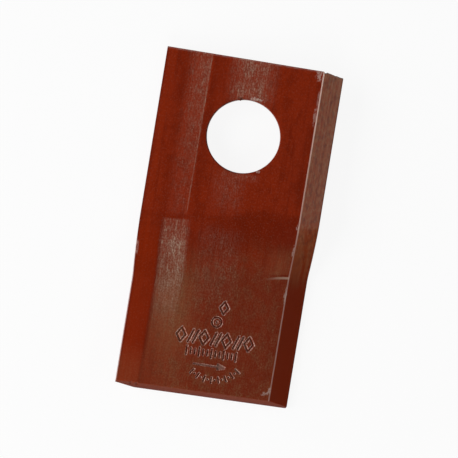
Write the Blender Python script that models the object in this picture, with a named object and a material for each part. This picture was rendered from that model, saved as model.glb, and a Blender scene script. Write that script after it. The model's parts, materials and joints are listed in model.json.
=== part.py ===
# A rotary mower blade: a short length of flat steel bar with a fixing bore near one end. Both long edges are
# bevelled, the leading one on its upper side and the trailing one on its underside, so that the blade can be turned
# over. Beyond the bore the bar is twisted, which lowers the leading edge.
#
# The blade is modelled along Y, with the bore's axis on Z, the mounting end at +Y, the leading edge at +X, and z = 0
# at the middle of the bar's thickness. It is then rolled over until it lies on its own underside.

import math

import bmesh
import bpy
from mathutils import Matrix, Vector

# Bar
BLADE_WIDTH = 0.0500
BLADE_THICKNESS = 0.0040
EDGE_RADIUS = 0.00015
RIDGE_RADIUS = 0.0004

# Bevelled edges: the land is the upright strip that the bevel leaves at the edge
BEVEL_WIDTH_MOUNTING = 0.00560
BEVEL_WIDTH_CUTTING = 0.00603
EDGE_LAND = 0.0014

# Lengths from the bore's axis, as seen from above
BORE_TO_MOUNTING_END = 0.0216
BORE_TO_CUTTING_END = 0.07385

# Sheared ends: both slope the same way, and the cutting end is also a little out of square
SHEAR_SLOPE = math.radians(20.0)
CUTTING_END_SKEW = math.radians(0.85)
SHEAR_ROLL_LENGTH = 0.0005
SHEAR_ROLL_DEPTH = 0.0003

# Fixing bore
BORE_DIAMETER = 0.0205
BORE_ROLL = 0.0002

# Twist: where it starts and stops on each edge, from the bore's axis
TWIST = math.radians(12.2)
TWIST_START_LEADING = 0.0200
TWIST_START_TRAILING = 0.0255
TWIST_STOP_LEADING = 0.0376
TWIST_STOP_TRAILING = 0.0442
TWIST_EASE = 0.15

# Fineness of the mesh
CORNER_STEPS = 2
FACE_COLUMNS = 10
BEVEL_COLUMNS = 2
TWIST_STEPS = 20
ROLL_STEPS = 3
BORE_STEPS = 72


def rounded_outline(corners):
    """Points of a convex outline, anticlockwise. A corner is (x, z, radius, columns on the run that follows it)."""
    arcs = []
    for i, (x, z, radius, _) in enumerate(corners):
        corner = Vector((x, z))
        back = (Vector(corners[i - 1][:2]) - corner).normalized()
        ahead = (Vector(corners[(i + 1) % len(corners)][:2]) - corner).normalized()
        half = back.angle(ahead) / 2
        centre = corner + (back + ahead).normalized() * radius / math.sin(half)
        first = corner + back * radius / math.tan(half) - centre
        sweep = math.pi - 2 * half
        arcs.append([
            centre + Matrix.Rotation(sweep * step / CORNER_STEPS, 2) @ first
            for step in range(CORNER_STEPS + 1)
        ])
    points = []
    for i, arc in enumerate(arcs):
        points += arc
        columns = corners[i][3]
        following = arcs[(i + 1) % len(arcs)][0]
        points += [arc[-1].lerp(following, column / columns) for column in range(1, columns)]
    return points


def bar_section(bevel_width):
    """The bar's section, seen from the cutting end: half a turn about its middle leaves it the same."""
    side = BLADE_WIDTH / 2
    top = BLADE_THICKNESS / 2
    land_top = EDGE_LAND - top
    half = [
        (side, land_top, EDGE_RADIUS, BEVEL_COLUMNS),
        (side - bevel_width, top, RIDGE_RADIUS, FACE_COLUMNS),
        (-side, top, EDGE_RADIUS, 1),
    ]
    return rounded_outline(half + [(-x, -z, radius, columns) for x, z, radius, columns in half])


def eased(share):
    """How much of the twist is reached at a share of the way through it: a steady ramp with eased ends."""
    plateau = 1 - TWIST_EASE
    if share < TWIST_EASE:
        return share ** 2 / (2 * TWIST_EASE * plateau)
    if share > plateau:
        return 1 - (1 - share) ** 2 / (2 * TWIST_EASE * plateau)
    return (share - TWIST_EASE / 2) / plateau


def add_ring(blade, y_leading, y_trailing, twisted=0.0, sheared=False, roll_top=0.0, roll_under=0.0):
    """One section of the blade. Its Y runs evenly from the leading to the trailing edge, and a roll thins it."""
    bevel_width = BEVEL_WIDTH_MOUNTING + twisted * (BEVEL_WIDTH_CUTTING - BEVEL_WIDTH_MOUNTING)
    turn = Matrix.Rotation(twisted * TWIST, 3, "Y")
    ring = []
    for x, z in bar_section(bevel_width):
        y = y_leading + (y_trailing - y_leading) * (0.5 - x / BLADE_WIDTH)
        if sheared:
            y += z * math.tan(SHEAR_SLOPE)
        roll = roll_top if z > 0 else roll_under
        z *= 1 - 2 * roll / BLADE_THICKNESS
        ring.append(blade.verts.new(turn @ Vector((x, y, z))))
    return ring


def shear_roll(step):
    """Distance from a sheared end, and depth of the rounding that shearing leaves there."""
    share = step / ROLL_STEPS
    return SHEAR_ROLL_LENGTH * share, SHEAR_ROLL_DEPTH * (1 - math.sqrt(1 - (1 - share) ** 2))


def blade_rings(blade):
    """The blade's sections, from the mounting end to the cutting end."""
    overhang = BLADE_THICKNESS / 2 * math.tan(SHEAR_SLOPE)
    rings = []
    mounting_end = BORE_TO_MOUNTING_END - overhang
    for step in range(ROLL_STEPS + 1):
        inset, depth = shear_roll(step)
        y = mounting_end - inset
        rings.append(add_ring(blade, y, y, sheared=True, roll_under=depth))
    for step in range(TWIST_STEPS + 1):
        share = step / TWIST_STEPS
        y_leading = -TWIST_START_LEADING - share * (TWIST_STOP_LEADING - TWIST_START_LEADING)
        y_trailing = -TWIST_START_TRAILING - share * (TWIST_STOP_TRAILING - TWIST_START_TRAILING)
        rings.append(add_ring(blade, y_leading, y_trailing, twisted=eased(share)))
    cutting_end = -BORE_TO_CUTTING_END + overhang
    skew = BLADE_WIDTH / 2 * math.tan(CUTTING_END_SKEW)
    for step in reversed(range(ROLL_STEPS + 1)):
        inset, depth = shear_roll(step)
        y = cutting_end + inset
        rings.append(add_ring(blade, y + skew, y - skew, twisted=1.0, sheared=True, roll_top=depth))
    return rings


def make_blade():
    """The twisted bar, without its bore."""
    blade = bmesh.new()
    rings = blade_rings(blade)
    blade.faces.new(rings[0])
    for ring, following in zip(rings, rings[1:]):
        for i in range(len(ring)):
            j = (i + 1) % len(ring)
            blade.faces.new((ring[i], following[i], following[j], ring[j]))
    blade.faces.new(reversed(rings[-1]))
    bmesh.ops.recalc_face_normals(blade, faces=blade.faces)
    return add_object("mower_blade", blade)


def make_bore_cutter():
    """The punch's shape: the bore, with the rounding that the punch leaves at its upper rim."""
    radius = BORE_DIAMETER / 2
    top = BLADE_THICKNESS / 2
    profile = [(0.0, -BLADE_THICKNESS), (radius, -BLADE_THICKNESS)]
    for step in range(ROLL_STEPS + 1):
        angle = math.pi / 2 * step / ROLL_STEPS
        profile.append((radius + BORE_ROLL * (1 - math.cos(angle)), top + BORE_ROLL * (math.sin(angle) - 1)))
    profile += [(radius + BORE_ROLL, BLADE_THICKNESS), (0.0, BLADE_THICKNESS)]
    cutter = bmesh.new()
    points = [cutter.verts.new((r, 0.0, z)) for r, z in profile]
    lines = [cutter.edges.new(pair) for pair in zip(points, points[1:])]
    bmesh.ops.spin(
        cutter, geom=points + lines, cent=(0, 0, 0), axis=(0, 0, 1), angle=math.tau, steps=BORE_STEPS
    )
    bmesh.ops.remove_doubles(cutter, verts=cutter.verts, dist=1e-6)
    bmesh.ops.recalc_face_normals(cutter, faces=cutter.faces)
    return add_object("bore_cutter", cutter)


def add_object(name, shape):
    mesh = bpy.data.meshes.new(name)
    shape.to_mesh(mesh)
    shape.free()
    made = bpy.data.objects.new(name, mesh)
    bpy.context.scene.collection.objects.link(made)
    return made


def red_lacquer():
    """Dip-coated red-brown lacquer over mill scale."""
    material = bpy.data.materials.new("red_lacquer")
    material.use_nodes = True
    shader = material.node_tree.nodes["Principled BSDF"]
    shader.inputs["Base Color"].default_value = (0.160, 0.016, 0.005, 1.0)
    shader.inputs["Roughness"].default_value = 0.38
    shader.inputs["Metallic"].default_value = 0.0
    return material


def lay_down(blade):
    """Rolls the blade onto its two lowest lines, and puts the middle of its footprint at the origin."""
    below = -BLADE_THICKNESS / 2
    ridge_under = Vector((BEVEL_WIDTH_MOUNTING - BLADE_WIDTH / 2, 0, below))
    leading_under = Matrix.Rotation(TWIST, 3, "Y") @ Vector((BLADE_WIDTH / 2, 0, below))
    span = leading_under - ridge_under
    blade.rotation_euler.y = -math.atan2(-span.z, span.x)
    bpy.context.view_layer.update()
    shape = blade.evaluated_get(bpy.context.evaluated_depsgraph_get())
    corners = [blade.matrix_world @ vertex.co for vertex in shape.data.vertices]
    low = Vector([min(corner[axis] for corner in corners) for axis in range(3)])
    high = Vector([max(corner[axis] for corner in corners) for axis in range(3)])
    blade.location = (-(low.x + high.x) / 2, -(low.y + high.y) / 2, -low.z)


for old in list(bpy.data.objects):
    bpy.data.objects.remove(old, do_unlink=True)

mower_blade = make_blade()
mower_blade.data.materials.append(red_lacquer())

bore_cutter = make_bore_cutter()
bore_cutter.parent = mower_blade
bore_cutter.hide_render = True
bore_cutter.display_type = "WIRE"

bore = mower_blade.modifiers.new("bore", "BOOLEAN")
bore.operation = "DIFFERENCE"
bore.solver = "EXACT"
bore.object = bore_cutter

lay_down(mower_blade)
mower_blade.data.shade_smooth()
mower_blade.data.set_sharp_from_angle(angle=math.radians(20))
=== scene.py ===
import json
import math

import bpy
import numpy as np
from mathutils import Matrix, Vector, noise


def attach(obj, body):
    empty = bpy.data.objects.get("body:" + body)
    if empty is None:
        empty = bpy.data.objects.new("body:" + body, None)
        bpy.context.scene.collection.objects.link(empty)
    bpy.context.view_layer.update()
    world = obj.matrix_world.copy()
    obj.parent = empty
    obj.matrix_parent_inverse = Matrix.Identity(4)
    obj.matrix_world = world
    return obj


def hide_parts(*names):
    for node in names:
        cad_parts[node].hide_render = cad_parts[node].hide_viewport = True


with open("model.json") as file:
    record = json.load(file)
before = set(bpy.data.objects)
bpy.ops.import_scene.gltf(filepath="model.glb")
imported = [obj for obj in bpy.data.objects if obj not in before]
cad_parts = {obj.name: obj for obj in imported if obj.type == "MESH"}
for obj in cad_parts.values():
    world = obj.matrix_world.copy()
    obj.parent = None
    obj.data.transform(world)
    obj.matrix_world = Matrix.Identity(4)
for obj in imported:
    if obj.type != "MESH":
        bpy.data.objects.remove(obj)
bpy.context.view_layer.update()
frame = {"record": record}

# The bar
# The blade starts as a short length of hot-rolled spring steel flat, with a bevel rolled along each long
# edge, the leading one above and the trailing one below. It is modelled straight and level here, with the
# bore's axis on Z.
BAR_WIDTH = 0.0500
BAR_THICKNESS = 0.0040
BEVEL_WIDTH = 0.0056
EDGE_LAND = 0.0014
EDGE_ROUNDING = 0.00016
ROUNDING_STEPS = 2
SHARP_ANGLE = math.radians(20)
BORE_TO_MOUNTING_END = 0.0216
BORE_TO_CUTTING_END = 0.07385
SHEAR_SLOPE = math.radians(20.0)
COLUMN = 0.0004
LAYERS = 8
END_STRIP = 0.0016
END_STRIP_CUTS = 6
MIDDLE_STRIPS = 3
MIDDLE_STRIP_CUTS = 76
MERGE = 0.000002

side = BAR_WIDTH / 2
top = BAR_THICKNESS / 2
ridge = side - BEVEL_WIDTH
bevel_drop = BAR_THICKNESS - EDGE_LAND
shear_reach = top * math.tan(SHEAR_SLOPE)
mounting_end = BORE_TO_MOUNTING_END - shear_reach
cutting_end = -BORE_TO_CUTTING_END + shear_reach

bpy.ops.object.select_all(action="DESELECT")
bpy.ops.mesh.primitive_grid_add(x_subdivisions=round(BAR_WIDTH / COLUMN), y_subdivisions=LAYERS, size=1.0)
blade = bpy.context.object
blade.name = "lacquered_blade"
blade.scale = (BAR_WIDTH, BAR_THICKNESS, 1.0)
bpy.ops.object.transform_apply(scale=True)
for vertex in blade.data.vertices:
    x, height = vertex.co.x, vertex.co.y
    upper = top - bevel_drop * max(0.0, (x - ridge) / BEVEL_WIDTH)
    lower = -top + bevel_drop * max(0.0, (-x - ridge) / BEVEL_WIDTH)
    vertex.co.y = lower + (height / BAR_THICKNESS + 0.5) * (upper - lower)

middle_strip = (mounting_end - cutting_end - 2 * END_STRIP) / MIDDLE_STRIPS
strips = [END_STRIP] + [middle_strip] * MIDDLE_STRIPS + [END_STRIP]
bpy.ops.object.mode_set(mode="EDIT")
bpy.ops.mesh.select_all(action="SELECT")
for strip in strips:
    bpy.ops.mesh.extrude_region_move(TRANSFORM_OT_translate={"value": (0, 0, strip)})
bpy.ops.mesh.select_all(action="SELECT")
bpy.ops.mesh.normals_make_consistent(inside=False)
bpy.ops.mesh.select_all(action="DESELECT")
bpy.ops.mesh.select_mode(type="EDGE")
bpy.ops.object.mode_set(mode="OBJECT")


def cut_across(low, high, cuts):
    """Divides the strip of the bar between two heights by this many cuts across it."""
    places = np.empty(len(blade.data.vertices) * 3)
    blade.data.vertices.foreach_get("co", places)
    heights = places[2::3]
    ends = np.empty(len(blade.data.edges) * 2, int)
    blade.data.edges.foreach_get("vertices", ends)
    first, second = heights[ends[0::2]], heights[ends[1::2]]
    middle = (first + second) / 2
    along = (np.abs(first - second) > END_STRIP / 2) & (middle > low) & (middle < high)
    blade.data.edges.foreach_set("select", along)
    bpy.ops.object.mode_set(mode="EDIT")
    bpy.ops.mesh.subdivide(number_cuts=cuts)
    bpy.ops.mesh.select_all(action="DESELECT")
    bpy.ops.object.mode_set(mode="OBJECT")


reached = 0.0
for strip in strips:
    cut_across(reached, reached + strip, END_STRIP_CUTS if strip == END_STRIP else MIDDLE_STRIP_CUTS)
    reached += strip

blade.rotation_euler.x = math.radians(90)
bpy.ops.object.transform_apply(rotation=True)
blade.data.transform(Matrix.Translation((0, mounting_end, 0)))

rounding = blade.modifiers.new("edge_rounding", "BEVEL")
rounding.width = EDGE_ROUNDING
rounding.segments = ROUNDING_STEPS
rounding.limit_method = "ANGLE"
rounding.angle_limit = SHARP_ANGLE
bpy.ops.object.modifier_apply(modifier=rounding.name)
bpy.ops.object.mode_set(mode="EDIT")
bpy.ops.mesh.select_all(action="SELECT")
bpy.ops.mesh.remove_doubles(threshold=MERGE)
bpy.ops.object.mode_set(mode="OBJECT")

# The bore
# The fixing bore is punched from above in one stroke, which pulls the upper rim down into a small rounding.
# The punch is a turned shape that is made here and then taken out of the bar.
BORE_RADIUS = 0.01025
BORE_SIDES = 180
BORE_ROLL = 0.0002
BORE_ROLL_STEPS = 4

bpy.ops.object.select_all(action="DESELECT")
bpy.ops.mesh.primitive_circle_add(
    vertices=BORE_SIDES, radius=BORE_RADIUS, fill_type="NGON", location=(0, 0, -BAR_THICKNESS)
)
punch = bpy.context.object
bpy.ops.object.mode_set(mode="EDIT")
bpy.ops.mesh.select_all(action="SELECT")
height, radius = -BAR_THICKNESS, BORE_RADIUS
for step in range(BORE_ROLL_STEPS + 2):
    turn = min(1.0, step / BORE_ROLL_STEPS) * math.pi / 2
    new_height = top + BORE_ROLL * (math.sin(turn) - 1) if step <= BORE_ROLL_STEPS else BAR_THICKNESS
    new_radius = BORE_RADIUS + BORE_ROLL * (1 - math.cos(turn))
    bpy.ops.mesh.extrude_region_move(TRANSFORM_OT_translate={"value": (0, 0, new_height - height)})
    grow = new_radius / radius
    bpy.ops.transform.resize(value=(grow, grow, 1), center_override=(0, 0, 0))
    height, radius = new_height, new_radius
bpy.ops.mesh.select_all(action="SELECT")
bpy.ops.mesh.normals_make_consistent(inside=False)
bpy.ops.object.mode_set(mode="OBJECT")

bpy.ops.object.select_all(action="DESELECT")
blade.select_set(True)
bpy.context.view_layer.objects.active = blade
punching = blade.modifiers.new("bore", "BOOLEAN")
punching.operation = "DIFFERENCE"
punching.solver = "MANIFOLD"
punching.object = punch
bpy.ops.object.modifier_apply(modifier=punching.name)
bpy.data.objects.remove(punch)
bpy.ops.object.mode_set(mode="EDIT")
bpy.ops.mesh.select_all(action="SELECT")
bpy.ops.mesh.remove_doubles(threshold=MERGE)
bpy.ops.object.mode_set(mode="OBJECT")

# The stamped marks
# Plain marks are struck cold into the cutting part, each as a groove or a dent with sloping walls and a
# raised lip. The face is divided finely along them, and then pressed down. The arrow shows which way the
# blade travels.
MARK_DEPTH = 0.00026
MARK_LIP = 0.00003
MARK_CUTS = 3
GROOVE = 0.00054
FINE_GROOVE = 0.00042
FLOOR, WALL_TOP, LIP, LIP_WIDTH = 0.15, 0.75, 0.88, 0.14
STROKE_OFFSETS = (0.0028, 0.0042)
STROKE_HALF_HEIGHT = 0.0017
STROKE_LEAN = 0.0006
ARROW_Y = -0.0649
HAIR = 0.000001

strokes = []


def strike(points, width):
    """Adds the strokes that join these places on the bar, one after the other."""
    strokes.extend((np.array(start), np.array(end), width) for start, end in zip(points, points[1:]))


def strike_lozenge(x, y, half_width, half_height):
    corners = [(x + half_width, y), (x, y + half_height), (x - half_width, y), (x, y - half_height)]
    strike(corners + corners[:1], GROOVE)


def strike_ring(x, y, radius, sides):
    """A ring with a dot in its middle."""
    turns = [step * math.tau / sides for step in range(sides)]
    corners = [(x + radius * math.cos(turn), y + radius * math.sin(turn)) for turn in turns]
    strike(corners + corners[:1], FINE_GROOVE)
    strike([(x, y), (x, y)], GROOVE)


def strike_row(x, y, pitch, count, half_width, half_height):
    """Lozenges side by side, with a pair of leaning strokes between each and the next."""
    for step in range(count):
        strike_lozenge(x + step * pitch, y, half_width, half_height)
    for step in range(count - 1):
        for offset in STROKE_OFFSETS:
            middle = x + step * pitch + offset
            foot = (middle - STROKE_LEAN, y - STROKE_HALF_HEIGHT)
            head = (middle + STROKE_LEAN, y + STROKE_HALF_HEIGHT)
            strike([foot, head], GROOVE)


def strike_ticks(x, y, pitch, count, long_half, short_half):
    """Upright ticks side by side, with every third one long."""
    for step in range(count):
        half_height = long_half if step % 3 == 0 else short_half
        strike([(x + step * pitch, y - half_height), (x + step * pitch, y + half_height)], FINE_GROOVE)


def strike_arrow(tail, neck, tip, y, half_head):
    strike([(tail, y), (neck, y)], FINE_GROOVE)
    for share in (-1.0, -0.5, 0.0, 0.5, 1.0):
        strike([(neck, y + share * half_head), (tip, y)], FINE_GROOVE)


def strike_arc(x, y, inner, outer, first_turn, turn_step, count):
    """Ticks with dots between them on an arc that hangs below its centre."""
    for step in range(count):
        turn = math.radians(first_turn + step * turn_step)
        reaches = (inner, outer) if step % 2 == 0 else ((inner + outer) / 2,) * 2
        strike([(x + reach * math.sin(turn), y - reach * math.cos(turn)) for reach in reaches], FINE_GROOVE)


strike_lozenge(x=0.0022, y=-0.0482, half_width=0.0012, half_height=0.0017)
strike_ring(x=0.0007, y=-0.0524, radius=0.0014, sides=14)
strike_row(x=-0.0088, y=-0.0572, pitch=0.0066, count=4, half_width=0.0013, half_height=0.0019)
strike_ticks(x=-0.0066, y=-0.0613, pitch=0.0012, count=13, long_half=0.0012, short_half=0.0007)
strike_arrow(tail=-0.0040, neck=0.0030, tip=0.0050, y=ARROW_Y, half_head=0.0008)
strike_arc(x=0.0015, y=-0.0600, inner=0.0083, outer=0.0099, first_turn=-38, turn_step=6.6, count=15)


def off_stroke(spots, slack=0.0):
    """How far each spot on the bar lies from the middle of the nearest stroke, in widths of that stroke."""
    nearest = np.full(len(spots), np.inf)
    for start, end, width in strokes:
        run = end - start
        share = np.clip((spots - start) @ run / max(run @ run, HAIR ** 2), 0, 1)
        off_middle = np.linalg.norm(spots - start - share[:, None] * run, axis=1)
        nearest = np.minimum(nearest, (off_middle - slack) / width)
    return nearest


def eased_step(low, high, value):
    """0 before low, 1 after high, and a smooth rise between them."""
    share = np.clip((value - low) / (high - low), 0, 1)
    return share * share * (3 - 2 * share)


def hump(off, reach):
    """1 where off is 0, dying away smoothly over this reach on either side."""
    return np.exp(-((off / reach) ** 2))


middles = np.empty(len(blade.data.polygons) * 3)
blade.data.polygons.foreach_get("center", middles)
middles = middles.reshape(-1, 3)
marked = (middles[:, 2] > top - HAIR) & (off_stroke(middles[:, :2], slack=COLUMN / 2) < LIP + LIP_WIDTH)
bpy.ops.object.mode_set(mode="EDIT")
bpy.ops.mesh.select_all(action="DESELECT")
bpy.ops.mesh.select_mode(type="FACE")
bpy.ops.object.mode_set(mode="OBJECT")
blade.data.polygons.foreach_set("select", marked)
bpy.ops.object.mode_set(mode="EDIT")
bpy.ops.mesh.subdivide(number_cuts=MARK_CUTS)
bpy.ops.object.mode_set(mode="OBJECT")

places = np.empty(len(blade.data.vertices) * 3)
blade.data.vertices.foreach_get("co", places)
places = places.reshape(-1, 3)
off = off_stroke(places[:, :2])
pressed = MARK_DEPTH * (1 - eased_step(FLOOR, WALL_TOP, off)) - MARK_LIP * hump(off - LIP, LIP_WIDTH)
places[:, 2] -= np.where(places[:, 2] > top - HAIR, pressed, 0)
blade.data.vertices.foreach_set("co", places.ravel())

# Rolling, shearing and handling
# The rolls leave faint facets along the bar. Both ends are sheared at a slope, which rounds one long edge
# of each cut and leaves a torn face and small nicks, and the punch has left a burr on the bore's rim.
FACET_LINE = -0.0119
FACET_SOFT_LINE = -0.0182
FACET_DEPTH = 0.00010
WAVES = (60, 25, 60)
WAVINESS = 0.000018
SHEAR_FADE = 0.010
SHEAR_ROLL_LENGTH = 0.0005
SHEAR_ROLL_DEPTH = 0.0003
CUTTING_END_SKEW = math.radians(0.85)
TEARS = (1500, 300, 900)
TEAR_DEPTH = 0.00005
END_NICKS = (-0.0190, -0.0206)
END_NICK = 0.00030
END_NICK_WIDTH = 0.0003
RAGS = (1400, 0, 0)
RAGS_SHIFT = (0, 7, 3)
END_BURR = 0.00080
END_BURR_WIDTH = 0.0003
BORE_BURR_TURN = math.radians(104)
BORE_BURR_SPREAD = math.radians(2.4)
BORE_BURR = 0.00036
BORE_BURR_WIDTH = 0.0003
BORE_BURR_FOOT = 0.94

# The places on the straight bar are kept for the finish.
straight = blade.data.attributes.new("bar_place", "FLOAT_VECTOR", "POINT")
straight.data.foreach_set("vector", places.astype(np.float32).ravel())


def ripple(scale, shift=(0, 0, 0)):
    """Noise at every place on the bar, with this many ripples to the metre across, along and through it."""
    return np.array([noise.noise(spot) for spot in places * scale + np.array(shift)])


def shear_roll(distance):
    """How far the rounding of a sheared end reaches down, at a distance from the end."""
    share = 1 - np.clip(distance / SHEAR_ROLL_LENGTH, 0, 1)
    return SHEAR_ROLL_DEPTH * (1 - np.sqrt(1 - share ** 2))


x, y, z = places[:, 0].copy(), places[:, 1].copy(), places[:, 2].copy()
upper_share = np.clip(z / BAR_THICKNESS + 0.5, 0, 1)
facet = np.clip((FACET_LINE - x) / (FACET_LINE - FACET_SOFT_LINE), 0, 1)
z -= upper_share * FACET_DEPTH * np.where(x < FACET_LINE, np.sin(facet * math.pi / 2), 0)
z -= WAVINESS * (1 + ripple(WAVES)) * (2 * upper_share - 1)

to_cutting_end = places[:, 1] - cutting_end
to_mounting_end = mounting_end - places[:, 1]
z *= np.where(places[:, 2] > 0, 1 - shear_roll(to_cutting_end) / top, 1)
z *= np.where(places[:, 2] < 0, 1 - shear_roll(to_mounting_end) / top, 1)
near_cutting = 1 - np.clip(to_cutting_end / SHEAR_FADE, 0, 1)
near_mounting = 1 - np.clip(to_mounting_end / SHEAR_FADE, 0, 1)
y += places[:, 2] * math.tan(SHEAR_SLOPE) * np.maximum(near_cutting, near_mounting)
y += x * math.tan(CUTTING_END_SKEW) * near_cutting
on_end = (to_cutting_end < HAIR) | (to_mounting_end < HAIR)
y += np.where(on_end, TEAR_DEPTH * ripple(TEARS) * (1 - np.abs(places[:, 2]) / top), 0)
for nick_x in END_NICKS:
    nick = hump(x - nick_x, END_NICK_WIDTH) * (to_cutting_end < END_NICK_WIDTH)
    y += END_NICK * nick * (places[:, 2] > 0)
ragged_edge = np.maximum(ripple(RAGS, RAGS_SHIFT), 0)
y -= END_BURR * ragged_edge * (to_mounting_end < END_BURR_WIDTH) * (x > ridge) * upper_share

from_bore = np.hypot(places[:, 0], places[:, 1])
bore_burr = hump(np.arctan2(places[:, 1], places[:, 0]) - BORE_BURR_TURN, BORE_BURR_SPREAD)
on_rim = (from_bore < BORE_RADIUS + BORE_BURR_WIDTH) * eased_step(BORE_BURR_FOOT, 1.0, upper_share)
drawn_in = 1 - BORE_BURR * bore_burr * on_rim / from_bore
x *= drawn_in
y *= drawn_in

# The press
# Hot, the cutting part is twisted in a press about the bar's middle, which lowers the leading edge. The
# press also spreads the bevels a little, and leaves a faint line where the twist starts and a sharp crease
# where it stops.
TWIST = math.radians(12.2)
TWIST_START_LEADING = 0.0200
TWIST_START_TRAILING = 0.0255
TWIST_STOP_LEADING = 0.0376
TWIST_STOP_TRAILING = 0.0442
TWIST_EASE = 0.15
BEVEL_WIDTH_PRESSED = 0.00603
CREASE_DEPTH = 0.00014
CREASE_WIDTH = 0.0003
CREASE_LENGTH = 0.0075
CREASE_TAPER = 0.7
CREASE_AT_RIDGE = 0.03695
CREASE_SLANT = 0.085
CREASE_BOW = 17.0
PRESS_LINE_DEPTH = 0.00004
PRESS_LINE_WIDTH = 0.0005
MARGIN = 0.0001

trailing_share = 0.5 - x / BAR_WIDTH
start = -TWIST_START_LEADING - trailing_share * (TWIST_START_TRAILING - TWIST_START_LEADING)
stop = -TWIST_STOP_LEADING - trailing_share * (TWIST_STOP_TRAILING - TWIST_STOP_LEADING)
share = np.clip((y - start) / (stop - start), 0, 1)
plateau = 1 - TWIST_EASE
easing_in = share ** 2 / (2 * TWIST_EASE * plateau)
easing_out = 1 - (1 - share) ** 2 / (2 * TWIST_EASE * plateau)
steady = (share - TWIST_EASE / 2) / plateau
twisted = np.where(share < TWIST_EASE, easing_in, np.where(share > plateau, easing_out, steady))

ridge_pressed = ridge - (BEVEL_WIDTH_PRESSED - BEVEL_WIDTH) * twisted
from_middle = np.abs(x)
above_land = places[:, 2] > EDGE_LAND - top + MARGIN
below_land = places[:, 2] < top - EDGE_LAND - MARGIN
inside_ridge = from_middle * ridge_pressed / ridge
beyond_ridge = side - (side - from_middle) * (side - ridge_pressed) / BEVEL_WIDTH
spread = np.sign(x) * np.where(from_middle < ridge, inside_ridge, beyond_ridge)
x = np.where(np.where(x > 0, above_land, below_land), spread, x)

in_from_ridge = ridge - x
crease_line = -CREASE_AT_RIDGE - CREASE_SLANT * in_from_ridge - CREASE_BOW * in_from_ridge ** 2
crease_reach = np.clip(1 - in_from_ridge / CREASE_LENGTH, 0, 1) * (x < ridge_pressed + MARGIN)
crease = hump(y - crease_line - CREASE_WIDTH, CREASE_WIDTH) * crease_reach ** CREASE_TAPER
z -= upper_share * CREASE_DEPTH * crease
z -= upper_share * PRESS_LINE_DEPTH * hump(y - start, PRESS_LINE_WIDTH) * (from_middle < ridge)

angle = TWIST * twisted
places[:, 0] = x * np.cos(angle) + z * np.sin(angle)
places[:, 1] = y
places[:, 2] = z * np.cos(angle) - x * np.sin(angle)
blade.data.vertices.foreach_set("co", places.ravel())

# Lying on the bench
# A loose blade lies on the ridge of its lower bevel and on its lowered leading edge. The frame's two clamp
# faces say where the middle of the bore is, and how far the mounting part leans.
SMOOTH_ANGLE = math.radians(28)

faces = {mount["name"]: mount for mount in frame["record"]["mounts"]}
upper_face, lower_face = faces["upper_clamp_face"], faces["lower_clamp_face"]
bore_centre = (Vector(upper_face["pos_m"]) + Vector(lower_face["pos_m"])) / 2
lean = math.atan2(upper_face["axis"][0], upper_face["axis"][2])
lying = Matrix.Translation(bore_centre) @ Matrix.Rotation(lean, 4, "Y")
blade.data.transform(lying)
blade.data.update()
bpy.ops.object.select_all(action="DESELECT")
blade.select_set(True)
bpy.context.view_layer.objects.active = blade
bpy.ops.object.shade_smooth_by_angle(angle=SMOOTH_ANGLE)
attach(blade, "root")
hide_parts("mower_blade")

# The lacquer
# The finished blade is dipped in thin red-brown lacquer, straight over the mill scale. It is semi-gloss,
# streaked lengthways, with a pale bloom in bands, browner on the bevels, and rubbed through along the
# ridges and the edges. Part of the bloom is a painted reflection, part of the bevels' brown and of the
# rubbing on the ridges is a painted highlight, and painted shade darkens the struck marks, the bore's rim
# and the lines at the press and the crease.
DEEP_RED = (0.198, 0.0172, 0.0038, 1.0)
ORANGE_RED = (0.225, 0.0180, 0.0026, 1.0)
BRIGHT_RED = (0.290, 0.0220, 0.0020, 1.0)
DARK_RED = (0.112, 0.0080, 0.0014, 1.0)
BEVEL_BROWN_AND_SHEEN = (0.278, 0.0420, 0.0050, 1.0)
PRESSED_RED = (0.225, 0.0200, 0.0022, 1.0)
FILM_AND_SHEEN = (0.320, 0.190, 0.088, 1.0)
BLOOM_AND_SHEEN = (0.375, 0.240, 0.172, 1.0)
RUBBED_AND_HIGHLIGHT = (0.780, 0.540, 0.450, 1.0)
CHALKED_AND_HIGHLIGHT = (0.560, 0.430, 0.370, 1.0)
SCALE_AND_PAINTED_SHADE = (0.045, 0.018, 0.012, 1.0)
TORN_STEEL = (0.215, 0.034, 0.009, 1.0)
GLOSS_TINT = (1.0, 0.93, 0.80, 1.0)
MILLIMETRES = 1000.0
COMMON_LOW, COMMON_HIGH = 0.35, 0.65
GRAIN_ROUGHNESS = 0.55
SEED_SHIFT = (17.3, 31.7, 11.9)
MIX_SHARE, MIX_UNDER, MIX_OVER, MIX_COLOUR = 0, 6, 7, 2

lacquer = bpy.data.materials.new("red_lacquer_over_scale")
lacquer.use_nodes = True
recipe = lacquer.node_tree
blade.data.materials.clear()
blade.data.materials.append(lacquer)


def mix_in(kind, values, result=0, **settings):
    """One step of the recipe: a node with these values, or the results of earlier steps, on its sockets."""
    made = recipe.nodes.new(kind)
    for name, value in settings.items():
        setattr(made, name, value)
    for socket, value in values.items():
        if isinstance(value, bpy.types.NodeSocket):
            recipe.links.new(value, made.inputs[socket])
        else:
            made.inputs[socket].default_value = value
    return made.outputs[result]


def reckon(operation, first, second=0.0):
    return mix_in("ShaderNodeMath", {0: first, 1: second}, operation=operation)


def rise(value, low, high, start=0.0, stop=1.0):
    """A smooth change from start, where the value is low, to stop, where it is high."""
    ends = {"From Min": low, "From Max": high, "To Min": start, "To Max": stop}
    return mix_in("ShaderNodeMapRange", {"Value": value, **ends}, interpolation_type="SMOOTHSTEP")


def fall(value, low, high):
    return rise(value, low, high, 1.0, 0.0)


def product(*shares):
    total = shares[0]
    for share in shares[1:]:
        total = reckon("MULTIPLY", total, share)
    return total


def added(*shares):
    total = shares[0]
    for share in shares[1:]:
        total = reckon("ADD", total, share)
    return total


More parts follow.
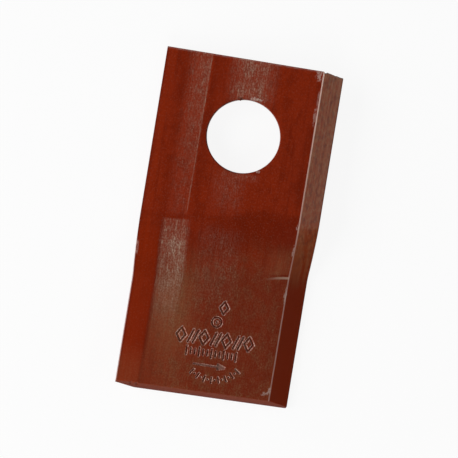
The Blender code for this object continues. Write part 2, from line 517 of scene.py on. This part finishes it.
def between(value, low, high, soft_low, soft_high):
    """1 between two places, fading over this much on either side of each of them."""
    past_low = rise(value, low - soft_low, low + soft_low)
    before_high = fall(value, high - soft_high, high + soft_high)
    return product(past_low, before_high)


def grain(across, along, seed, detail=2.0):
    """Noise whose grains have this width and length in millimetres. It lies mostly between 0.3 and 0.7."""
    shift = [seed * step for step in SEED_SHIFT]
    shifted = mix_in("ShaderNodeVectorMath", {0: place, 1: shift}, operation="ADD")
    sizes = (1 / across, 1 / along, 1 / across)
    scaled = mix_in("ShaderNodeVectorMath", {0: shifted, 1: sizes}, operation="MULTIPLY")
    values = {"Vector": scaled, "Scale": 1.0, "Detail": detail, "Roughness": GRAIN_ROUGHNESS}
    return mix_in("ShaderNodeTexNoise", values)


def vary(noise_value, least, most):
    """A change from least to most with a noise, over the values that it mostly has."""
    return rise(noise_value, COMMON_LOW, COMMON_HIGH, least, most)


def lay(under, *coats):
    """Coats of colour over another colour, each as thick as its share says."""
    for over, share in coats:
        values = {MIX_SHARE: share, MIX_UNDER: under, MIX_OVER: over}
        under = mix_in("ShaderNodeMix", values, result=MIX_COLOUR, data_type="RGBA")
    return under


def patch(x_middle, y_middle, half_width, half_length):
    """A rubbed place on the upper face, ragged at its edge."""
    x_off = reckon("DIVIDE", reckon("SUBTRACT", x, x_middle), half_width)
    y_off = reckon("DIVIDE", reckon("SUBTRACT", y, y_middle), half_length)
    off_middle = added(product(x_off, x_off), product(y_off, y_off), ragged)
    return product(rise(z, 1.0, 1.5), fall(off_middle, 0.6, 2.0))


# Places are in millimetres on the straight bar. The level is the height above the middle of the bar's
# thickness there, which tells the upper side from the lower one. Each side's bevel lies beyond its ridge.
ridge_mm, top_mm, bore_mm = ridge * MILLIMETRES, top * MILLIMETRES, BORE_RADIUS * MILLIMETRES
mounting_mm, cutting_mm = mounting_end * MILLIMETRES, cutting_end * MILLIMETRES
straight_place = mix_in("ShaderNodeAttribute", {}, result="Vector", attribute_name="bar_place")
place = mix_in("ShaderNodeVectorMath", {"Vector": straight_place, "Scale": MILLIMETRES}, operation="SCALE")
x, y, z = [mix_in("ShaderNodeSeparateXYZ", {"Vector": place}, result=axis) for axis in range(3)]
past_bore = reckon("MULTIPLY", y, -1.0)
over_bevel = reckon("MAXIMUM", reckon("SUBTRACT", x, ridge_mm), 0.0)
under_bevel = reckon("MAXIMUM", reckon("SUBTRACT", product(x, -1.0), ridge_mm), 0.0)
middle_level = product(reckon("SUBTRACT", under_bevel, over_bevel), bevel_drop / BEVEL_WIDTH / 2)
level = reckon("SUBTRACT", z, middle_level)
upper = rise(level, -0.25, 0.25)
towards_bevel = product(x, rise(level, -0.25, 0.25, -1.0, 1.0))
beyond_ridge = reckon("SUBTRACT", towards_bevel, ridge_mm)
on_bevel = rise(beyond_ridge, -0.05, 0.20)

patchy = grain(8.0, 11.0, seed=1)
mottle = grain(2.2, 3.5, seed=2)
streaks = grain(0.9, 26.0, seed=3, detail=3.0)
fine_streaks = grain(0.34, 12.0, seed=4)
speckle = grain(0.38, 0.52, seed=5, detail=1.0)
dashes = grain(0.30, 1.4, seed=6, detail=1.0)
ragged = rise(grain(0.45, 0.9, seed=7), 0.32, 0.68, -0.3, 1.6)
pebbling = grain(0.9, 1.3, seed=8)
tears = grain(0.25, 1.0, seed=9)
bevel_dashes = grain(0.7, 3.4, seed=10)
pitting = grain(0.55, 0.75, seed=11)
end_bits_grain = grain(0.5, 0.5, seed=12)
dust = grain(0.42, 0.50, seed=13)
bevel_film = grain(0.8, 1.3, seed=14)
bevel_mottle = grain(0.9, 2.0, seed=15)

# The tone changes over the face: it is brighter and more orange by the trailing edge, with a darker strip
# next to it, and darker past the line where the twist starts, more so towards the leading side. A painted
# shadow lies along that line.
beside_band = product(between(x, -11.5, -9.2, 0.3, 1.5), fall(past_bore, 16.0, 30.0), upper, 0.35)
beside_ridge = product(between(x, 16.8, 19.2, 1.8, 0.2), rise(patchy, 0.35, 0.60, 0.50, 0.15), upper)
bright_strip = product(
    between(towards_bevel, -24.3, -21.8, 0.4, 1.4), rise(streaks, 0.35, 0.60, 0.65, 0.20)
)
dark_strip = product(between(towards_bevel, -20.4, -18.0, 1.2, 0.8), rise(patchy, 0.40, 0.60, 0.45, 0.20))
trailing_strip = product(fall(towards_bevel, -19.6, -18.0), rise(past_bore, 24.0, 36.0), 0.55)
strip_border = product(between(towards_bevel, -18.9, -18.2, 0.5, 0.4), rise(past_bore, 24.0, 30.0), 0.45)
outer_edge = product(fall(towards_bevel, -24.9, -24.4), 0.8)
press_start = added(20.2, product(fall(x, -1.0, 9.0), 3.0), product(fall(x, -18.0, 0.0), 2.0))
past_press = reckon("SUBTRACT", past_bore, press_start)
darker_past_press_line = product(rise(past_press, -1.8, 2.2), fall(past_press, 6.0, 15.0), rise(x, -14.0, 4.0), upper, 0.62)
# A painted shadow along the faint line where the twist starts.
press_line_shadow = product(between(past_press, -0.4, 0.8, 0.8, 1.2), upper, 0.30)
dulled = product(rise(past_press, 8.0, 20.0), rise(towards_bevel, -9.0, 0.0), upper, 0.28)
colour = lay(
    DEEP_RED,
    (ORANGE_RED, rise(patchy, 0.42, 0.66, 0.0, 0.45)),
    (DARK_RED, rise(mottle, 0.46, 0.70, 0.0, 0.42)),
    (DARK_RED, rise(streaks, 0.50, 0.70, 0.0, 0.35)),
    (DARK_RED, rise(pitting, 0.42, 0.66, 0.0, 0.30)),
    (DARK_RED, beside_band),
    (DARK_RED, beside_ridge),
    (ORANGE_RED, bright_strip),
    (DARK_RED, dark_strip),
    (BRIGHT_RED, trailing_strip),
    (DARK_RED, strip_border),
    (DARK_RED, outer_edge),
    (DARK_RED, darker_past_press_line),
    (DARK_RED, press_line_shadow),
    (DARK_RED, dulled),
)

# The bloom lies in lengthways bands, grainy and broken into short dashes. Past the twist there is a brown
# film. Bloom and film are partly real lacquer bloom and partly a painted reflection, stronger on the
# twisted part, and the pale lines by the roll facet's edge are painted highlights.
mounting_fade = product(fall(past_press, -3.0, 0.4), rise(past_bore, -20.0, 22.0, 0.13, 0.045))
mounting_bloom_and_sheen = product(between(x, -17.1, -11.95, 2.5, 0.2), mounting_fade)
pressed_band = product(between(x, -18.4, -11.3, 0.7, 1.1), rise(x, -18.0, -13.0, 0.75, 1.10))
pressed_rise = product(rise(past_press, 0.3, 1.0), rise(past_press, 0.6, 9.0, 0.35, 1.0))
pressed_bloom_and_sheen = product(pressed_band, pressed_rise, fall(past_bore, 35.0, 59.0), 0.38)
mounting_middle = product(between(x, -5.0, 5.0, 3.0, 3.5), fall(past_bore, -12.0, -8.0), 0.20)
beside_bore = product(between(x, 0.5, 5.5, 1.5, 1.5), between(past_bore, 10.2, 12.0, 0.4, 0.8), 0.09)
under_bore = product(between(x, -5.6, 1.8, 2.5, 2.5), between(past_bore, 10.25, 20.0, 1.25, 5.0), 0.07)
pressed_middle = product(between(x, -7.5, 3.5, 2.0, 3.0), between(past_bore, 27.0, 47.0, 3.0, 9.0), 0.055)
bands = added(mounting_bloom_and_sheen, pressed_bloom_and_sheen, mounting_middle, beside_bore, under_bore, pressed_middle)
broken = product(vary(speckle, 0.38, 1.62), vary(dashes, 0.55, 1.45), vary(mottle, 0.72, 1.30))
roll_line = product(between(x, -12.38, -12.14, 0.10, 0.10), fall(past_press, -3.0, 0.0))
second_line = product(between(x, -12.75, -12.50, 0.10, 0.10), between(past_bore, 27.0, 42.0, 2.0, 4.0))
bloom_and_sheen = added(
    product(bands, broken, vary(fine_streaks, 0.65, 1.35)),
    product(roll_line, rise(dashes, 0.35, 0.60, 0.10, 0.24)),
    product(second_line, rise(dashes, 0.40, 0.65, 0.0, 0.16)),
    rise(dust, 0.50, 0.72, 0.0, 0.055),
)
film_and_sheen_band = product(rise(x, -19.1, -17.5), rise(x, -18.0, -13.0, 0.75, 1.05), fall(x, -12.0, -3.5))
film_and_sheen_fade = product(rise(past_bore, 30.0, 50.0), rise(past_bore, 50.0, 72.0, 0.25, 0.08))
corner_film_and_sheen = product(fall(x, -20.5, -16.0), rise(past_bore, 60.0, 70.0), 0.10)
patch_rise = product(rise(past_press, 4.0, 18.0, 0.0, 0.09), rise(past_bore, 52.0, 70.0, 1.0, 1.35))
patch_breaks = product(vary(mottle, 0.50, 1.25), vary(dashes, 0.75, 1.25), vary(speckle, 0.75, 1.25))
film_and_sheen_patches = product(patch_rise, patch_breaks, rise(x, -17.5, -6.0))
film_and_sheen = added(product(film_and_sheen_band, film_and_sheen_fade), corner_film_and_sheen, film_and_sheen_patches)
film_and_sheen_grain = product(vary(fine_streaks, 0.85, 1.15), vary(speckle, 0.78, 1.22))
colour = lay(colour, (FILM_AND_SHEEN, product(film_and_sheen, upper, film_and_sheen_grain)), (BLOOM_AND_SHEEN, product(bloom_and_sheen, upper)))

# The bevels are browner, with lengthways roll marks, and dark red past the twist. The paler brown of the
# mounting part's bevel is partly wear and partly a painted highlight of the right lamp that it faces.
mounting_part = fall(past_bore, 10.0, 30.0)
dark_line = product(between(beyond_ridge, 3.25, 3.50, 0.15, 0.20), rise(dashes, 0.35, 0.60, 0.15, 0.55))
pale_line = product(between(beyond_ridge, 2.70, 2.95, 0.10, 0.12), rise(dashes, 0.35, 0.60, 0.0, 0.20))
pale_rim = product(between(beyond_ridge, 4.4, 5.4, 0.7, 0.3), fall(past_bore, 12.0, 24.0), 0.10)
twist_film = product(between(past_bore, 24.0, 38.5, 3.0, 2.5), rise(streaks, 0.40, 0.60, 0.03, 0.15))
bevel_brown_and_sheen = lay(
    BEVEL_BROWN_AND_SHEEN,
    (PRESSED_RED, rise(fine_streaks, 0.46, 0.68, 0.0, 0.65)),
    (BLOOM_AND_SHEEN, rise(fine_streaks, 0.32, 0.54, 0.10, 0.0)),
    (FILM_AND_SHEEN, rise(bevel_film, 0.46, 0.64, 0.0, 0.20)),
    (DARK_RED, rise(bevel_mottle, 0.48, 0.66, 0.0, 0.50)),
    (FILM_AND_SHEEN, product(rise(bevel_dashes, 0.44, 0.62, 0.0, 0.16), fall(past_bore, -20.0, 26.0))),
    (DARK_RED, product(dark_line, mounting_part)),
    (BLOOM_AND_SHEEN, product(pale_line, mounting_part)),
    (BLOOM_AND_SHEEN, pale_rim),
    (PRESSED_RED, rise(past_bore, 19.0, 43.0)),
    (FILM_AND_SHEEN, twist_film),
)
colour = lay(colour, (bevel_brown_and_sheen, on_bevel))

# The crease by the ridge is pale, partly rubbed and partly a painted highlight, with a painted shadow line
# and a brownish patch on its mounting side.
from_ridge = reckon("SUBTRACT", ridge_mm, x)
bowed = product(from_ridge, from_ridge, CREASE_BOW / MILLIMETRES)
crease_place = added(CREASE_AT_RIDGE * MILLIMETRES, product(from_ridge, CREASE_SLANT), bowed)
past_crease = reckon("SUBTRACT", past_bore, crease_place)
on_crease = product(fall(from_ridge, 0.4, CREASE_LENGTH * MILLIMETRES), rise(from_ridge, -0.1, 0.1), upper)
above_crease = product(between(past_crease, -7.0, -0.8, 3.0, 0.6), between(x, 13.5, 18.9, 3.5, 0.4), upper)
colour = lay(
    colour,
    (FILM_AND_SHEEN, product(above_crease, vary(fine_streaks, 0.07, 0.13))),
    (DARK_RED, product(on_crease, between(past_crease, -0.75, -0.30, 0.18, 0.12), 0.6)),
    (BLOOM_AND_SHEEN, product(on_crease, between(past_crease, -0.12, 0.46, 0.15, 0.28), 0.85)),
)

# Handling has rubbed the ridges, the mounting end, and a few places beside the ridge and by the bore. The
# pale line along the ridge and along the mounting end's upper edge is partly this wear and partly a painted
# highlight. Each place is given by its middle, its half width and its half length, and by how pale it is.
# A painted shade darkens the trailing side of the bore's rounded rim and the burr on it, and the upper
# bevel is darker in ragged bits along the mounting end.
end_fringe = rise(y, mounting_mm - 0.7, mounting_mm - 0.1)
wear_and_highlight_places = product(end_fringe, upper, rise(mottle, 0.38, 0.62, 0.08, 0.26))
for x_middle, y_middle, half_width, half_length, paleness in (
    (18.2, 19.6, 0.90, 1.50, 0.42),
    (18.7, 9.0, 0.40, 2.40, 0.30),
    (18.9, 13.0, 0.25, 2.20, 0.25),
    (19.0, -22.8, 0.40, 0.70, 0.40),
    (19.0, -29.6, 0.26, 1.80, 0.35),
    (19.2, -42.0, 0.45, 1.80, 0.40),
    (19.1, -70.1, 0.55, 1.00, 0.52),
    (18.2, -70.8, 0.90, 0.50, 0.46),
    (17.1, -71.3, 0.90, 0.30, 0.34),
    (1.8, 10.8, 1.90, 0.50, 0.50),
    (5.6, -9.0, 0.60, 0.45, 0.45),
):
    rubbed_place = product(patch(x_middle, y_middle, half_width, half_length), paleness)
    wear_and_highlight_places = reckon("MAXIMUM", wear_and_highlight_places, rubbed_place)
along_ridge = between(beyond_ridge, -0.20, 0.16, 0.10, 0.10)
ridge_paleness = added(rise(past_bore, -21.0, 20.0, 1.0, 0.60), rise(past_bore, 20.0, 30.0, 0.0, -0.30))
ridge_wear_and_highlight = product(along_ridge, ridge_paleness, rise(dashes, 0.30, 0.50, 0.85, 1.0))
upper_edge = product(fall(towards_bevel, -24.6, -24.2), rise(z, 0.8, 1.4))
edge_spot = product(upper_edge, between(past_bore, 33.5, 36.8, 0.8, 0.8))
rubbed_edge = product(edge_spot, rise(dashes, 0.35, 0.55, 0.0, 0.35))
off_bore = reckon("SQRT", added(product(x, x), product(y, y)))
# Painted shade on the trailing side of the bore's rounded upper rim, and on the burr by it.
bore_rim = product(fall(off_bore, bore_mm + 0.15, bore_mm + 0.60), fall(x, -2.0, 5.0), upper)
bore_speck = product(patch(x_middle=-2.5, y_middle=10.3, half_width=0.75, half_length=0.45), 0.85)
dark_end_bits = product(rise(y, mounting_mm - 0.6, mounting_mm - 0.1), on_bevel, upper)
colour = lay(
    colour,
    (CHALKED_AND_HIGHLIGHT, wear_and_highlight_places),
    (RUBBED_AND_HIGHLIGHT, reckon("MAXIMUM", ridge_wear_and_highlight, rubbed_edge)),
    (SCALE_AND_PAINTED_SHADE, product(bore_rim, rise(mottle, 0.35, 0.60, 0.15, 0.50))),
    (SCALE_AND_PAINTED_SHADE, bore_speck),
    (SCALE_AND_PAINTED_SHADE, product(dark_end_bits, rise(end_bits_grain, 0.42, 0.55, 0.0, 0.75))),
)

# The struck marks are dark inside, partly pooled lacquer and partly painted shade, with pale rims that are
# partly thin lacquer and partly painted highlight, and the arrow is less dark than the rest.
drop = reckon("SUBTRACT", top_mm, z)
marked_face = product(between(past_bore, 44.5, 71.25, 0.5, 0.25), between(x, -12.0, 14.0, 0.2, 0.2), upper)
deep = product(marked_face, rise(drop, 0.12, 0.20))
on_arrow = between(past_bore, -ARROW_Y * MILLIMETRES - 1.2, -ARROW_Y * MILLIMETRES + 1.2, 0.3, 0.3)
lip = fall(drop, -0.028, -0.012)
wall_top = product(rise(drop, 0.004, 0.020), fall(drop, 0.07, 0.13))
mark_rim = product(marked_face, added(lip, wall_top))
colour = lay(
    colour,
    (SCALE_AND_PAINTED_SHADE, product(deep, 0.42)),
    (RUBBED_AND_HIGHLIGHT, product(deep, on_arrow, 0.16)),
    (RUBBED_AND_HIGHLIGHT, product(mark_rim, rise(speckle, 0.38, 0.60, 0.10, 0.72))),
)

# The sheared ends are torn steel under the lacquer, darker downwards, and darkest along the lowest line.
half_blade = (mounting_mm - cutting_mm) / 2
off_half = reckon("ABSOLUTE", reckon("SUBTRACT", y, (mounting_mm + cutting_mm) / 2))
end_face = rise(off_half, half_blade - 0.12, half_blade - 0.05)
torn = lay(
    TORN_STEEL,
    (DARK_RED, rise(tears, 0.40, 0.65, 0.0, 0.7)),
    (DARK_RED, rise(z, -1.2, 1.4, 0.5, 0.0)),
    (SCALE_AND_PAINTED_SHADE, fall(z, -1.95, -1.65)),
)
colour = lay(colour, (torn, end_face))

# The lacquer is duller where the bloom lies and on the torn ends. Its relief is some hundredths of a
# millimetre.
BLOOM_DULLNESS = 0.30
END_DULLNESS = 0.60
PEBBLE_HEIGHT = 0.008
BLOOM_HEIGHT = 0.020
TEAR_HEIGHT = 0.06
ROLL_MARK_HEIGHT = 0.008
STREAK_HEIGHT = 0.005

shader = recipe.nodes["Principled BSDF"]
dullness = added(product(bands, upper, BLOOM_DULLNESS), product(end_face, END_DULLNESS))
recipe.links.new(colour, shader.inputs["Base Color"])
recipe.links.new(added(vary(patchy, 0.24, 0.26), dullness), shader.inputs["Roughness"])
shader.inputs["Specular Tint"].default_value = GLOSS_TINT
relief = added(
    product(pebbling, PEBBLE_HEIGHT),
    product(speckle, added(product(bands, BLOOM_HEIGHT), product(end_face, TEAR_HEIGHT))),
    product(fine_streaks, on_bevel, ROLL_MARK_HEIGHT),
    product(streaks, STREAK_HEIGHT),
)
surface = mix_in("ShaderNodeBump", {"Height": relief, "Distance": 1 / MILLIMETRES, "Strength": 1.0})
recipe.links.new(surface, shader.inputs["Normal"])

# The bench and the lamps
# The blade lies on a plain pale bench top. Broad soft panels light it from the left and the front, and a
# narrow one stands on the right, where the upper bevel mirrors it. The studio above is dark, and the fills
# aren't mirrored, so that the lacquer keeps its depth from every side.
BENCH_RADIUS = 4.0
BENCH_SIDES = 96
BENCH_PALENESS = 0.93
BENCH_ROUGHNESS = 0.9
BENCH_SHINE = 0.2
BENCH_GLOW = 0.90
LAMP_DISTANCE = 1.0
LIT_MIDDLE = -0.026
HORIZON_LIGHT = 0.85
CEILING_LIGHT = 0.012
HORIZON_HEIGHT = 0.09

bpy.ops.object.select_all(action="DESELECT")
bpy.ops.mesh.primitive_circle_add(
    vertices=BENCH_SIDES, radius=BENCH_RADIUS, fill_type="NGON", location=(0, 0, 0)
)
bench = bpy.context.object
bench.name = "bench_top"
bench_paint = bpy.data.materials.new("pale_bench")
bench_paint.use_nodes = True
bench.data.materials.append(bench_paint)
recipe = bench_paint.node_tree
bench_shader = recipe.nodes["Principled BSDF"]
bench_shader.inputs["Base Color"].default_value = (BENCH_PALENESS, BENCH_PALENESS, BENCH_PALENESS, 1.0)
bench_shader.inputs["Roughness"].default_value = BENCH_ROUGHNESS
bench_shader.inputs["Specular IOR Level"].default_value = BENCH_SHINE
camera_ray, glossy_ray, transmission_ray = [
    mix_in("ShaderNodeLightPath", {}, result=kind)
    for kind in ("Is Camera Ray", "Is Glossy Ray", "Is Transmission Ray")
]
seen = reckon("MAXIMUM", reckon("MAXIMUM", camera_ray, glossy_ray), transmission_ray)
glow = mix_in("ShaderNodeEmission", {})
bench_look = mix_in(
    "ShaderNodeMixShader", {0: product(seen, BENCH_GLOW), 1: bench_shader.outputs["BSDF"], 2: glow}
)
recipe.links.new(bench_look, recipe.nodes["Material Output"].inputs["Surface"])

face_right = lying.to_3x3() @ Vector((1, 0, 0))
face_up = Vector((0, 1, 0))
face_out = lying.to_3x3() @ Vector((0, 0, 1))
blade_middle = lying @ Vector((0, LIT_MIDDLE, top))


def panel(name, slant, turn, width, length, power, mirrored=True):
    """A soft lamp, with its length along the blade. Slant is its angle from straight above the mounting
    part, and turn is that slant's compass angle from the leading side. The lacquer mirrors it if mirrored."""
    data = bpy.data.lights.new(name, "AREA")
    data.shape = "RECTANGLE"
    data.size = width
    data.size_y = length
    data.energy = power
    lamp = bpy.data.objects.new(name, data)
    bpy.context.scene.collection.objects.link(lamp)
    slant, turn = math.radians(slant), math.radians(turn)
    sideways = face_right * math.cos(turn) + face_up * math.sin(turn)
    ray = face_out * math.cos(slant) + sideways * math.sin(slant)
    across = face_up.cross(ray).normalized()
    facing = Matrix((across, ray.cross(across), ray)).transposed().to_4x4()
    lamp.matrix_world = Matrix.Translation(blade_middle + ray * LAMP_DISTANCE) @ facing
    lamp.visible_glossy = mirrored


panel("left_panel", slant=56, turn=180, width=0.70, length=1.00, power=3.0)
panel("left_fill", slant=56, turn=180, width=0.70, length=1.00, power=12.2, mirrored=False)
panel("right_panel", slant=50, turn=0, width=0.38, length=1.00, power=1.2)
panel("front_fill", slant=55, turn=-90, width=0.70, length=0.50, power=3.5, mirrored=False)

studio = bpy.data.worlds.new("dark_studio")
bpy.context.scene.world = studio
studio.use_nodes = True
recipe = studio.node_tree
outward = mix_in("ShaderNodeTexCoord", {}, result="Generated")
height = mix_in("ShaderNodeSeparateXYZ", {"Vector": outward}, result="Z")
fade = recipe.nodes.new("ShaderNodeValToRGB")
horizon, ceiling = fade.color_ramp.elements[0], fade.color_ramp.elements[1]
horizon.position, ceiling.position = 0.0, HORIZON_HEIGHT
horizon.color = (HORIZON_LIGHT, HORIZON_LIGHT, HORIZON_LIGHT, 1.0)
ceiling.color = (CEILING_LIGHT, CEILING_LIGHT, CEILING_LIGHT, 1.0)
recipe.links.new(height, fade.inputs["Fac"])
recipe.links.new(fade.outputs["Color"], recipe.nodes["Background"].inputs["Color"])
bpy.context.scene.view_settings.view_transform = "Standard"

# The camera
# It looks square onto the mounting part from well above, with the blade leaning to the right in its view.
# The scale is that of the photo at the bore, and the view's middle is a place on the bar's upper face.
CAMERA_DISTANCE = 1.2
SENSOR_WIDTH = 36.0
PHOTO_SIDE = 458
PIXELS_PER_METRE = 3578.0
BLADE_LEAN_IN_VIEW = math.radians(9.3)
VIEW_CENTRE = (0.00017, -0.02616)

view_right = face_right * math.cos(BLADE_LEAN_IN_VIEW) + face_up * math.sin(BLADE_LEAN_IN_VIEW)
view_up = face_up * math.cos(BLADE_LEAN_IN_VIEW) - face_right * math.sin(BLADE_LEAN_IN_VIEW)
target = lying @ Vector((VIEW_CENTRE[0], VIEW_CENTRE[1], top))
camera_data = bpy.data.cameras.new("camera")
camera_data.sensor_width = SENSOR_WIDTH
camera_data.lens = SENSOR_WIDTH * CAMERA_DISTANCE * PIXELS_PER_METRE / PHOTO_SIDE
camera = bpy.data.objects.new("camera", camera_data)
bpy.context.scene.collection.objects.link(camera)
turned = Matrix((view_right, view_up, face_out)).transposed().to_4x4()
camera.matrix_world = Matrix.Translation(target + face_out * CAMERA_DISTANCE) @ turned
bpy.context.scene.camera = camera
